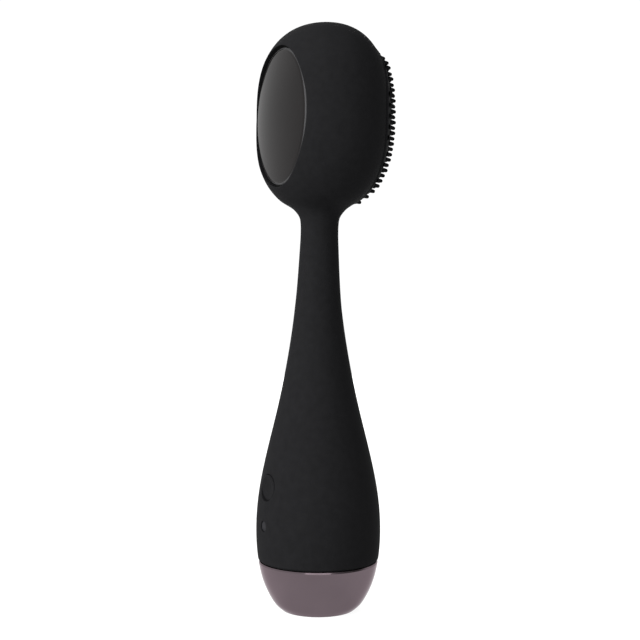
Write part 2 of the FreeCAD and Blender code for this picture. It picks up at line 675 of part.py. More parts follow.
def add_cap(outer, cap_inner):
    """Metal end cap, its threaded insert and seal, and the sliding contact carrier."""
    finish(cut(common(outer, slab(-1, "seam_height + 1")), cap_inner), "end_cap")

    insert = turned([
        ("pivot_radius + pivot_gap", "metal_wall + fit_gap"),
        ("insert_foot", "metal_wall + fit_gap"), ("insert_bend", "insert_bend_height"),
        ("insert_shoulder", "insert_shoulder_height"), ("sleeve_radius", "insert_side_base"),
        ("sleeve_radius", "insert_flange_base"), ("insert_flange", "insert_flange_base"),
        ("insert_flange_rim", "insert_flange_top"),
        ("sleeve_radius", "insert_flange_top"),
        ("sleeve_radius", "ring_height - ring_section"),
        ("sleeve_radius - ring_section", "ring_height - ring_section"),
        ("sleeve_radius - ring_section", "ring_height + ring_section"),
        ("sleeve_radius", "ring_height + ring_section"), ("sleeve_radius", "sleeve_top"),
        ("sleeve_bore", "sleeve_top"), ("sleeve_bore", "insert_bore_base"),
        ("insert_floor_radius", "insert_floor"), ("pivot_radius + pivot_gap", "insert_floor")])
    lugs = [common(
        tube("lug_root", "lug_reach", "lug_height", z="lug_centre - lug_height / 2"),
        box(REACH / 2, "lug_width", REACH, side * REACH / 4, "-lug_width / 2"))
        for side in (1, -1)]
    finish(join(insert, *lugs), "cap_insert")

    ring = doc.addObject("Part::Torus", "Ring")
    bind(ring, Radius1="sleeve_radius", Radius2="ring_section - fit_gap")
    finish(place(ring, 0, 0, "ring_height"), "seal_ring")

    finish(cut(turned([
        ("collar_bore", "collar_base"), ("collar_radius", "collar_base"),
        ("collar_radius", "collar_top - collar_flange_height"),
        ("collar_flange", "collar_top - collar_flange_height"), ("collar_flange", "collar_top"),
        ("collar_bore", "collar_top")]), *[groove(start) for start in range(THREAD_STARTS)]),
        "thread_collar")

    plate_top = "(carrier_base + carrier_thickness)"
    finish(join(
        cylinder("carrier_radius", "carrier_thickness", z="carrier_base"),
        cylinder("pivot_radius", "pivot_length", z="carrier_base - pivot_length"),
        common(cylinder("carrier_radius", "prong_top - carrier_base", z="carrier_base"),
               box("2 * prong_half_width", REACH, "prong_top - carrier_base",
                   y="holder_flat + prong_gap", z="carrier_base")),
    ), "contact_carrier")
    finish(join(
        box("2 * bridge_half_width", "bridge_depth", "bridge_thickness", 0, "-bridge_depth / 2",
            plate_top),
        *[cylinder("spring_radius", f"cell_base - {plate_top} - fit_gap", f"{side} * cell_place", 0,
                   plate_top) for side in (1, -1)],
    ), "bridge_contact")


# ---- leads -------------------------------------------------------------------------------------------

def lead(points):
    """Round insulated lead through the given points."""
    curve = Part.BSplineCurve()
    curve.interpolate([Vector(*point) for point in points])
    path = Part.Wire([curve.toShape()])
    start = Vector(*points[0])
    ring = Part.Wire([Part.Circle(start, curve.tangent(0)[0], size("lead_radius")).toShape()])
    return path.makePipeShell([ring], True, True)


def grip_route(across, neck_across, neck_depth):
    """Points of a lead from the board's upper edge up through the neck."""
    top = size("board_base") + size("board_length")
    depth = size("board_back") + size("board_thickness") / 2
    return [
        (across, depth, top + size("lead_gap")),
        (across, depth - size("lead_bow"), top + size("lead_run")),
        (neck_across, neck_depth + size("lead_swing"), size("grip_bend")),
        (neck_across, neck_depth, size("neck_start")),
        (neck_across, neck_depth, size("neck_end")),
    ]


def add_leads():
    """Pairs of leads from the board through the neck to the motor and to the heater."""
    spread = size("lead_spread")
    fan = size("lead_fan")
    bow = size("lead_bow")
    terminal = size("motor_base") - size("terminal_length") - size("lead_radius") - size("fit_gap")
    film = size("stone_back") - size("film_thickness") - size("film_gap")
    film += (size("stone_height") - size("film_end")) * math.tan(math.radians(size("stone_tilt")))
    routes = {"motor_leads": [], "heater_leads": []}
    for side in (1, -1):
        routes["motor_leads"].append(lead(
            grip_route(side * size("motor_lead_place"), side * spread, -spread) + [
                (side * fan, -spread - bow, size("head_bend")),
                (side * size("terminal_place"), size("motor_axis") - bow, terminal)]))
        over = side * size("film_lead_place")
        routes["heater_leads"].append(lead(
            grip_route(side * size("heater_lead_place"), side * spread, spread) + [
                (side * fan, spread + bow, size("head_bend")),
                (over, size("film_bend_depth"), size("film_bend")),
                (over, size("film_entry_depth"), size("film_entry")),
                (over, film, size("film_end"))]))
    for label, solids in routes.items():
        item = doc.addObject("Part::Feature", "Leads")
        item.Shape = Part.makeCompound(solids)
        finish(item, label)


def check_and_export():
    """Stop on any broken object, then write each sub-part to its own STEP file."""
    doc.recompute()
    for item in doc.Objects:
        if {"Invalid", "Error"} & set(item.State):
            raise RuntimeError(f"{item.Label} ({item.TypeId}): {item.State}")
    os.makedirs("parts", exist_ok=True)
    for item in subparts:
        if item.Shape.isNull() or not item.Shape.isValid() or item.Shape.Volume <= 0:
            raise RuntimeError(f"{item.Label} has no valid solid")
        item.Shape.exportStep(f"parts/{item.Label}.step")


def main():
    fill_sheet()
    outer = form("0")
    skin_inner = form("skin_thickness")
    shell_inner = form("(skin_thickness + shell_wall)")
    cap_inner = form("metal_wall")
    add_skin(outer, skin_inner)
    add_brush(form("(-brush_raise)"), skin_inner)
    slot = add_stone()
    add_shell(skin_inner, shell_inner, slot)
    add_motor()
    add_rotor()
    add_battery()
    add_board()
    add_button()
    add_cap(outer, cap_inner)
    add_leads()
    check_and_export()


main()
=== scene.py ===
"""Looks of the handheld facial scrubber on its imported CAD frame.

Metres, +Z up, origin at the middle of the flat foot.
The massage stone and the button look along +Y and the bristles along -Y.
"""
import json
import math
import random
from collections import Counter, namedtuple

import bmesh
import bpy
import numpy as np
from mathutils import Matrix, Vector
from mathutils.geometry import delaunay_2d_cdt


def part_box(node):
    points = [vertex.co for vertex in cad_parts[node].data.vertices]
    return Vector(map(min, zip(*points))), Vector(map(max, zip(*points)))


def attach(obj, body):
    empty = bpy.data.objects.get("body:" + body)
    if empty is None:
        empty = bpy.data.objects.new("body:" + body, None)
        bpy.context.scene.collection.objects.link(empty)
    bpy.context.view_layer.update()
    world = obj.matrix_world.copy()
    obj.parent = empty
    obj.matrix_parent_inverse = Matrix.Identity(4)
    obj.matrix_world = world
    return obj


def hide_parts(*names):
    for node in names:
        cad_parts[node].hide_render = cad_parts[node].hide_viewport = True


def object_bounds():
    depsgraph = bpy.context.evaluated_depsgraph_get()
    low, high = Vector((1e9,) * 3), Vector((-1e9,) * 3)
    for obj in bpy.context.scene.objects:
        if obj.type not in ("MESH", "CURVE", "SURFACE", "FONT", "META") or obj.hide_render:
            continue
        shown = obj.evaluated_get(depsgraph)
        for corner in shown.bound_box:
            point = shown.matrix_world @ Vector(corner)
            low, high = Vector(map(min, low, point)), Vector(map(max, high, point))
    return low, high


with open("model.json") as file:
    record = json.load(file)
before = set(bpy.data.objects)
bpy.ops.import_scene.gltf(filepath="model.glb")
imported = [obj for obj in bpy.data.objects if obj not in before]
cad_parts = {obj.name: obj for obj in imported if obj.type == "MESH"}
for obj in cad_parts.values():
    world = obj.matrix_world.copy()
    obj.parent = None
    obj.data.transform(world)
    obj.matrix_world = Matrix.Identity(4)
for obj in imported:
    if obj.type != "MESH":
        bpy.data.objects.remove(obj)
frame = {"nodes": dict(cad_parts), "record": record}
cad_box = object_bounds()
random.seed(7)

MM = 0.001

# ---- outer form, through the same sections as the CAD's loft -----------------------------------

# Lengths in millimetres; the handle's stations are height and radius.
HANDLE_PROFILE = ((0, 11.35), (1, 12.55), (3.5, 14.5), (8, 16.7), (14, 18.3), (22, 19.1), (34, 18.55),
                  (48, 15.9), (62, 12.5), (78, 9.3), (95, 7.0), (110, 6.05), (116.5, 5.83),
                  (119, 5.95), (120.5, 6.3), (122, 7.3))
HEAD_HALF_WIDTH = 23.5
HEAD_HALF_DEPTH = 19.85
HEAD_HALF_HEIGHT = 28.8
HEAD_CENTRE = 151.2
HEAD_POWER = 2.45
BLEND_POWER = 4.5
LEAN_START = 92.5
LEAN_SLOPE = 0.0195
HEAD_SECTIONS = 22
# Sections of the head, from its bottom, that the neck's spline runs on through.
JOINED_SECTIONS = np.arange(2, 9)


def natural_bends(heights, values):
    """Second derivatives of the natural cubic spline through a run of stations."""
    count = len(heights)
    steps = np.diff(heights)
    rises = np.diff(values) / steps
    matrix = np.eye(count)
    right = np.zeros(count)
    for row in range(1, count - 1):
        matrix[row, row - 1:row + 2] = steps[row - 1], 2 * (steps[row - 1] + steps[row]), steps[row]
        right[row] = 6 * (rises[row] - rises[row - 1])
    return np.linalg.solve(matrix, right)


def spline(heights, stations, values, bends):
    """Cubic spline at heights, held level below its first station and above its last."""
    inside = np.clip(heights, stations[0], stations[-1])
    below = np.clip(np.searchsorted(stations, inside) - 1, 0, len(stations) - 2)
    above = below + 1
    step = stations[above] - stations[below]
    under = (stations[above] - inside) / step
    over = 1 - under
    curve = ((under ** 3 - under) * bends[below] + (over ** 3 - over) * bends[above]) * step ** 2 / 6
    return under * values[below] + over * values[above] + curve


def head_radius(z, half):
    """Half width or half depth of the head's ellipses, blended into the neck below the middle."""
    level = np.clip((z - HEAD_CENTRE) / HEAD_HALF_HEIGHT, -1, 1)
    profile = half * (1 - np.abs(level) ** HEAD_POWER) ** (1 / HEAD_POWER)
    neck = np.where(level < 0, HANDLE_PROFILE[-1][1], 0)
    return (profile ** BLEND_POWER + neck ** BLEND_POWER) ** (1 / BLEND_POWER)


GRIP_HEIGHTS, GRIP_RADII = np.array(HANDLE_PROFILE, float).T
HEAD_LEVELS = -np.cos(math.pi * JOINED_SECTIONS / HEAD_SECTIONS)
HEAD_HEIGHTS = HEAD_CENTRE + HEAD_HALF_HEIGHT * HEAD_LEVELS
STATIONS = np.concatenate([GRIP_HEIGHTS, HEAD_HEIGHTS])
# The spline is used up to the middle one of the joined sections, and the head's own curve above it.
SPLINE_TOP = HEAD_HEIGHTS[len(HEAD_HEIGHTS) // 2]


def form_radius(z, half):
    """Half width or half depth of the whole form at heights in millimetres."""
    radii = np.concatenate([GRIP_RADII, head_radius(HEAD_HEIGHTS, half)])
    below = spline(z, STATIONS, radii, natural_bends(STATIONS, radii))
    return np.where(z < SPLINE_TOP, below, head_radius(z, half))


def section(heights):
    """Half width, half depth and middle along Y of the form's ellipses, all in metres."""
    z = np.asarray(heights, float) / MM
    half_width, half_depth = (form_radius(z, half) * MM for half in (HEAD_HALF_WIDTH, HEAD_HALF_DEPTH))
    middle = -LEAN_SLOPE * np.maximum(0, z - LEAN_START) * MM
    return half_width, half_depth, middle


def form_depth(across, heights, side):
    """Y of the form's surface at places on its +Y side (side 1) or its -Y side (side -1)."""
    half_width, half_depth, middle = section(heights)
    reach = np.clip(1 - (across / half_width) ** 2, 0, 1)
    return middle + side * half_depth * np.sqrt(reach)


# ---- mesh building -----------------------------------------------------------------------------

class Shell:
    """Points and faces of a mesh that grows loop by loop."""

    def __init__(self):
        self.points = []
        self.faces = []

    def loop(self, points):
        """Add points and return their numbers."""
        start = len(self.points)
        self.points.extend(tuple(point) for point in points)
        return list(range(start, len(self.points)))

    def bridge(self, first, second):
        """Quads between two closed loops of equal length."""
        count = len(first)
        for k in range(count):
            following = (k + 1) % count
            self.faces.append((first[k], first[following], second[following], second[k]))

    def chain(self, loops, start=None):
        """Bridge a run of closed loops and return the last one."""
        for points in loops:
            numbers = self.loop(points)
            if start is not None:
                self.bridge(start, numbers)
            start = numbers
        return start

    def close(self, loop, tip):
        """Fan from a closed loop to one point."""
        centre = self.loop([tip])[0]
        count = len(loop)
        self.faces.extend((loop[k], loop[(k + 1) % count], centre) for k in range(count))

    def build(self, name, crease=180):
        """Make the object, smooth up to a crease angle in degrees, with its faces turned outwards."""
        mesh = bpy.data.meshes.new(name)
        mesh.from_pydata(self.points, [], self.faces)
        work = bmesh.new()
        work.from_mesh(mesh)
        bmesh.ops.recalc_face_normals(work, faces=work.faces)
        work.to_mesh(mesh)
        work.free()
        mesh.shade_smooth()
        mesh.set_sharp_from_angle(angle=math.radians(crease))
        piece = bpy.data.objects.new(name, mesh)
        bpy.context.scene.collection.objects.link(piece)
        return piece


def turn_angles(count):
    """Evenly spaced angles of one turn."""
    return np.arange(count) * 2 * math.pi / count


def ring(radius, height, count):
    """Level circle round the object's axis."""
    angles = turn_angles(count)
    return np.stack([radius * np.cos(angles), radius * np.sin(angles), np.full(count, float(height))],
                    axis=1)


def curve_loops(start, corner, end, steps):
    """Loops that round the corner between two loops, both ends included."""
    for k in range(steps + 1):
        t = k / steps
        yield (1 - t) ** 2 * start + 2 * t * (1 - t) * corner + t ** 2 * end


# ---- openings in the skin ----------------------------------------------------------------------

# The edge is rounded by lip, and the wall goes in by depth; side is 1 for +Y and -1 for -Y.
Opening = namedtuple("Opening", "side centre facing up half_width half_height lip depth")
ACROSS = np.array([1.0, 0, 0])
LOOP_POINTS = 160
LIP_STEPS = 5
PROJECTION_STEPS = 6
PATCH_MARGIN = 0.9 * MM
# The patch has one loop of its own, out from the opening's rim by the cut's clearance over this.
PATCH_DIVISOR = 3
# Blender's number for triangles inside the given edges only.
INSIDE_EDGES = 1
# Points nearer than this, in millimetres, become one.
SAME_POINT = 1e-6


def opening(node, side, lip, depth, gap, tilt=0.0):
    """Oval opening of the skin round a CAD node that looks out of it."""
    low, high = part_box(node)
    centre = (low + high) / 2
    lean = math.radians(tilt)
    facing = np.array([0, side * math.cos(lean), math.sin(lean)])
    up = np.array([0, -side * math.sin(lean), math.cos(lean)])
    return Opening(side, np.array([0, high.y if side > 0 else low.y, centre.z]), facing, up,
                   (high.x - low.x) / 2 + gap, (high.z - low.z) / 2 + gap, lip, depth)


def on_form(hole, across, along):
    """Points of the outer form straight out of places in an opening's own plane."""
    out = np.zeros_like(across)
    for _ in range(PROJECTION_STEPS):
        points = (hole.centre + across[:, None] * ACROSS + along[:, None] * hole.up
                  + out[:, None] * hole.facing)
        out = out + (form_depth(points[:, 0], points[:, 2], hole.side) - points[:, 1]) / hole.facing[1]
    return points


def oval_on_form(hole, grow):
    """Loop of the form's points round an opening, wider than its wall by grow."""
    angles = turn_angles(LOOP_POINTS)
    return on_form(hole, (hole.half_width + grow) * np.cos(angles),
                   (hole.half_height + grow) * np.sin(angles))


def patch(shell, hole):
    """Cut an opening into the skin's grid, fill up to its round edge and turn the edge in."""
    points = np.array(shell.points)
    clear = hole.lip + PATCH_MARGIN
    middle = section(points[:, 2])[2]
    inside = ((points[:, 0] / (hole.half_width + clear)) ** 2
              + ((points[:, 2] - hole.centre[2]) / (hole.half_height + clear)) ** 2 < 1)
    inside &= (points[:, 1] - middle) * hole.side > 0
    removed = [face for face in shell.faces if any(inside[corner] for corner in face)]
    gone = set(removed)
    shell.faces = [face for face in shell.faces if face not in gone]
    edges = Counter(frozenset(pair) for face in removed for pair in zip(face, face[1:] + face[:1]))
    border = [tuple(edge) for edge, uses in edges.items() if uses == 1]

    rim = shell.loop(oval_on_form(hole, hole.lip))
    around = shell.loop(oval_on_form(hole, hole.lip + clear / PATCH_DIVISOR))
    numbers = sorted({number for edge in border for number in edge}) + rim + around
    place = {number: k for k, number in enumerate(numbers)}
    flat = [Vector((shell.points[number][0] / MM, shell.points[number][2] / MM)) for number in numbers]
    kept_edges = [(place[start], place[end]) for start, end in border]
    for loop in (rim, around):
        kept_edges += [(place[start], place[end]) for start, end in zip(loop, loop[1:] + loop[:1])]
    triangles, origins = delaunay_2d_cdt(flat, kept_edges, [], INSIDE_EDGES, SAME_POINT)[2:4]
    back = [numbers[origin[0]] for origin in origins]
    rim_set = set(rim)
    for triangle in triangles:
        corners = tuple(back[k] for k in triangle)
        if not rim_set.issuperset(corners):
            shell.faces.append(corners[::-1] if hole.side > 0 else corners)

    edge = oval_on_form(hole, hole.lip)
    wall = oval_on_form(hole, 0.0)
    loops = list(curve_loops(edge, wall, wall - hole.facing * hole.lip, LIP_STEPS))
    shell.chain(loops[1:] + [wall - hole.facing * hole.depth], rim)


# ---- skin --------------------------------------------------------------------------------------

COLUMNS = 216
GRIP_ROWS = 120
HEAD_ROWS = 84
SEAM_LIP = 0.9 * MM
SEAM_STEPS = 8
SKIN_THICKNESS = 1.2 * MM
SEAM_WALL = 3 * SKIN_THICKNESS


def grid_ring(height, inset=0.0):
    """Level ellipse of the form, moved in by an inset."""
    half_width, half_depth, middle = (float(value) for value in section(height))
    angles = turn_angles(COLUMNS)
    across = (half_width - inset) * np.cos(angles)
    back = middle + (half_depth - inset) * np.sin(angles)
    return np.stack([across, back, np.full(COLUMNS, height)], axis=1)


def add_skin(openings):
    """One-piece silicone skin with rolled edges at the seam and round every opening."""
    shell = Shell()
    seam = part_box("silicone_skin")[0].z
    top = (HEAD_CENTRE + HEAD_HALF_HEIGHT) * MM
    neck = GRIP_HEIGHTS[-1] * MM
    heights = list(np.linspace(seam + SEAM_LIP, neck, GRIP_ROWS))
    bottom = (HEAD_CENTRE - HEAD_HALF_HEIGHT) * MM
    span = 2 * HEAD_HALF_HEIGHT * MM
    heights += [bottom + span * (1 - math.cos(math.pi * row / HEAD_ROWS)) / 2
                for row in range(1, HEAD_ROWS)]
    last = shell.chain([grid_ring(height) for height in heights])
    shell.close(last, (0, float(section(top)[2]), top))
    for hole in openings:
        patch(shell, hole)
    first = list(range(COLUMNS))
    start = grid_ring(seam + SEAM_LIP)
    inward = grid_ring(seam, SKIN_THICKNESS)
    loops = list(curve_loops(start, grid_ring(seam), inward, SEAM_STEPS))
    shell.chain(loops[1:] + [grid_ring(seam + SEAM_WALL, SKIN_THICKNESS)], first)
    return shell.build("skin")


# ---- brush -------------------------------------------------------------------------------------

PAD_RAISE = 0.5 * MM
PAD_EDGE = 0.5 * MM
PAD_GAP = 0.15 * MM
PAD_RINGS = 40
BRISTLE_PITCH = (2.7 * MM, 3.3 * MM)
BRISTLE_MARGIN = 0.6 * MM
BRISTLE_LENGTH = 1.75 * MM
BRISTLE_SIDES = 14
# Angles in degrees: how far the bristles droop, and how far one may stray from that.
BRISTLE_TILT = 8.0
BRISTLE_STRAY = 0.6
BRISTLE_STRETCH = (0.98, 1.02)
# Radius and place along a bristle, from its flared root to its round tip, in millimetres.
BRISTLE_PROFILE = ((0.85, -0.25), (0.7, 0.05), (0.64, 0.25), (0.62, 0.5), (0.6, 0.85), (0.57, 1.2),
                   (0.53, 1.4), (0.43, 1.6), (0.23, 1.71))
# How fast the rows bend down to the sides, per metre.
ROW_ARCH = 6.0
# Rows and columns tried beyond the pad's own size, because the arch moves them.
SPARE_ROWS = 2


def add_brush(hole):
    """Brush pad with a soft raised edge and staggered rows of tapered round-tipped bristles."""
    shell = Shell()
    raised = hole.facing * PAD_RAISE
    half_width = hole.half_width - PAD_GAP
    half_height = hole.half_height - PAD_GAP
    angles = turn_angles(LOOP_POINTS)

    def oval(width, height):
        """Oval on the form, given by half its width and half its height."""
        return on_form(hole, width * np.cos(angles), height * np.sin(angles))

    loops = []
    for step in range(1, PAD_RINGS + 1):
        share = step / PAD_RINGS
        loops.append(oval(share * (half_width - PAD_EDGE), share * (half_height - PAD_EDGE)) + raised)
    shell.close(shell.loop(loops[0]), tuple(on_form(hole, np.zeros(1), np.zeros(1))[0] + raised))
    edge = shell.chain(loops[1:], list(range(LOOP_POINTS)))
    wall = oval(half_width, half_height)
    rounding = list(curve_loops(loops[-1], wall + raised, wall - hole.facing * PAD_EDGE, LIP_STEPS))
    shell.chain(rounding[1:] + [wall - hole.facing * SKIN_THICKNESS], edge)

    limits = half_width - BRISTLE_MARGIN, half_height - BRISTLE_MARGIN
    columns, rows = (int(limit / pitch) + SPARE_ROWS for limit, pitch in zip(limits, BRISTLE_PITCH))
    for column in range(-columns, columns):
        for row in range(-rows, rows + 1):
            across = (column + 0.5) * BRISTLE_PITCH[0]
            along = (row + 0.5 * (column % 2)) * BRISTLE_PITCH[1] - ROW_ARCH * across ** 2
            if (across / limits[0]) ** 2 + (along / limits[1]) ** 2 <= 1:
                add_bristle(shell, on_form(hole, np.array([across]), np.array([along]))[0] + raised)
    return shell.build("brush")


def add_bristle(shell, foot):
    """One bristle, leaning a hair off its row's direction."""
    tilt = math.radians(BRISTLE_TILT + random.uniform(-BRISTLE_STRAY, BRISTLE_STRAY))
    swing = math.radians(random.uniform(-BRISTLE_STRAY, BRISTLE_STRAY))
    axis = np.array([math.sin(swing), -math.cos(tilt), -math.sin(tilt)])
    axis /= np.linalg.norm(axis)
    across = np.cross(axis, [0, 0, 1])
    across /= np.linalg.norm(across)
    upright = np.cross(across, axis)
    stretch = random.uniform(*BRISTLE_STRETCH)
    angles = turn_angles(BRISTLE_SIDES)
    spokes = np.cos(angles)[:, None] * across + np.sin(angles)[:, None] * upright
    loops = [foot + spokes * radius * MM + axis * along * stretch * MM
             for radius, along in BRISTLE_PROFILE]
    last = shell.chain(loops)
    shell.close(last, foot + axis * BRISTLE_LENGTH * stretch)


# ---- stone, button and lens --------------------------------------------------------------------

def plane_loop(hole, half_width, half_height, out, count=LOOP_POINTS):
    """Oval in an opening's own plane, moved out by a distance."""
    angles = turn_angles(count)
    return (hole.centre + (half_width * np.cos(angles))[:, None] * ACROSS
            + (half_height * np.sin(angles))[:, None] * hole.up + out * hole.facing)


# Degrees that the stone's face leans back.
STONE_TILT = 0.4
STONE_HALF_WIDTH = 15.6 * MM
STONE_HALF_HEIGHT = 20.8 * MM
DOME_WIDTH = 34 * MM
DOME_DEPTH = 15.6 * MM
BAND_WIDTH = 0.95 * MM
BAND_DROP = 0.12 * MM
# One more loop this far across the band keeps the shading of its slope even.
BAND_SUPPORT = 0.7
STONE_ROUNDING = 0.4 * MM
STONE_EDGE_DROP = 0.1 * MM
STONE_SIDE = 3 * MM
STONE_RINGS = 48
STONE_EDGE_STEPS = 6


def add_stone(hole):
    """Polished domed stone with a narrow ground band and a rounded edge."""
    shell = Shell()

    def dome(inset):
        """Half width, half height and distance out of the dome, so far in from the stone's outline."""
        half_width = STONE_HALF_WIDTH - inset
        fall = DOME_DEPTH * (1 - math.sqrt(1 - (half_width / DOME_WIDTH) ** 2))
        return half_width, STONE_HALF_HEIGHT - inset, -fall

    face = STONE_HALF_WIDTH - BAND_WIDTH
    loops = []
    for step in range(1, STONE_RINGS + 1):
        share = step / STONE_RINGS
        half_width, _, out = dome(STONE_HALF_WIDTH - share * face)
        half_height = share * (STONE_HALF_HEIGHT - BAND_WIDTH)
        loops.append(plane_loop(hole, half_width, half_height, out))
    half_width, half_height, out = dome(STONE_ROUNDING)
    band = plane_loop(hole, half_width, half_height, out - BAND_DROP)
    half_width, half_height, out = dome(0.0)
    corner = plane_loop(hole, half_width, half_height, out - BAND_DROP - STONE_EDGE_DROP)
    side = corner - hole.facing * STONE_ROUNDING
    support = loops[-1] * (1 - BAND_SUPPORT) + band * BAND_SUPPORT
    first = shell.loop(loops[0])
    shell.close(first, tuple(plane_loop(hole, 0, 0, 0)[0]))
    last = shell.chain(loops[1:] + [support], first)
    rounding = list(curve_loops(band, corner, side, STONE_EDGE_STEPS))
    shell.chain(rounding + [side - hole.facing * STONE_SIDE], last)
    return shell.build("stone")


BUTTON_DISH = 0.62 * MM
BUTTON_EDGE = 0.55 * MM
BUTTON_RINGS = 24
BUTTON_POINTS = 72


def add_button(hole):
    """Round silicone button with a soft edge and a shallow dish."""
    low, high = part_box("button_pad")
    radius = (high.x - low.x) / 2
    shell = Shell()
    loops = []
    for step in range(1, BUTTON_RINGS + 1):
        share = step / BUTTON_RINGS
        reach = share * (radius - BUTTON_EDGE)
        loops.append(plane_loop(hole, reach, reach, -BUTTON_DISH * (1 - share ** 2), BUTTON_POINTS))
    rim = plane_loop(hole, radius, radius, 0.0, BUTTON_POINTS)
    rounding = list(curve_loops(loops[-1], rim, rim - hole.facing * BUTTON_EDGE, LIP_STEPS))
    first = shell.loop(loops[0])
    shell.close(first, tuple(hole.centre - hole.facing * BUTTON_DISH))
    shell.chain(loops[1:] + rounding[1:] + [rim - hole.facing * (high.y - low.y)], first)
    return shell.build("button")


LENS_RADIUS = 1.5 * MM
LENS_GAP = 0.1 * MM
LENS_DOME = 0.15 * MM
LENS_DOME_POWER = 4
# Part of the CAD lens's depth that the visual one goes down.
LENS_DEPTH = 0.9
LENS_RINGS = 10
LENS_POINTS = 48


def add_lens(hole):
    """Small smoked lens over the status lamp, slightly domed."""
    low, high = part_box("indicator_lens")
    radius = hole.half_width - LENS_GAP
    shell = Shell()
    loops = [plane_loop(hole, share * radius, share * radius, -LENS_DOME * share ** LENS_DOME_POWER,
                        LENS_POINTS)
             for share in np.linspace(1 / LENS_RINGS, 1, LENS_RINGS)]
    first = shell.loop(loops[0])
    shell.close(first, tuple(hole.centre))
    shell.chain(loops[1:] + [loops[-1] - hole.facing * (high.y - low.y) * LENS_DEPTH], first)
    return shell.build("lens")


# ---- end cap -----------------------------------------------------------------------------------

CAP_CHAMFER_HEIGHT = 0.45 * MM
CAP_CHAMFER_INSET = 0.28 * MM
CAP_WALL = 1.0 * MM
CAP_FOOT_INSET = 0.8 * MM
# Depths below the rim of the end of its upright inner edge, and of the first row of the inner wall.
CAP_EDGE_DEPTH = 0.2 * MM
CAP_INNER_DEPTH = 0.6 * MM
CAP_COLUMNS = 192
CAP_OUTER_ROWS = 70
CAP_INNER_ROWS = 30
CAP_CREASE = 30


def add_cap():
    """Thin-walled plated cap with a flat foot and a bright chamfer on its rim."""
    shell = Shell()
    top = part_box("end_cap")[1].z
    foot = GRIP_RADII[0] * MM
    outer = [ring(float(section(height)[0]), height, CAP_COLUMNS)
             for height in np.linspace(0.0, top - CAP_CHAMFER_HEIGHT, CAP_OUTER_ROWS)]
    first = shell.loop(ring(foot - CAP_FOOT_INSET, 0.0, CAP_COLUMNS))
    shell.close(first, (0, 0, 0))
    last = shell.chain(outer, first)
    rim = float(section(top)[0])
    inside = rim - CAP_WALL
    loops = [ring(rim - CAP_CHAMFER_INSET, top, CAP_COLUMNS),
             ring(inside, top, CAP_COLUMNS),
             ring(inside, top - CAP_EDGE_DEPTH, CAP_COLUMNS)]
    inner = [ring(float(section(height)[0]) - CAP_WALL, height, CAP_COLUMNS)
             for height in np.linspace(top - CAP_INNER_DEPTH, CAP_WALL, CAP_INNER_ROWS)]
    last = shell.chain(loops + inner, last)
    shell.close(last, (0, 0, CAP_WALL))
    return shell.build("cap", CAP_CREASE)


# ---- materials ---------------------------------------------------------------------------------

# The middle of a noise's values, which hold most of them.
NOISE_RANGE = (0.3, 0.7)


def map_range(tree, value, source, target, kind="LINEAR"):
    """Value moved from one range to another, held at its ends."""
    node = tree.nodes.new("ShaderNodeMapRange")
    node.interpolation_type = kind
    for name, number in zip(("From Min", "From Max", "To Min", "To Max"), source + target):
        node.inputs[name].default_value = number
    tree.links.new(value, node.inputs["Value"])
    return node.outputs["Result"]


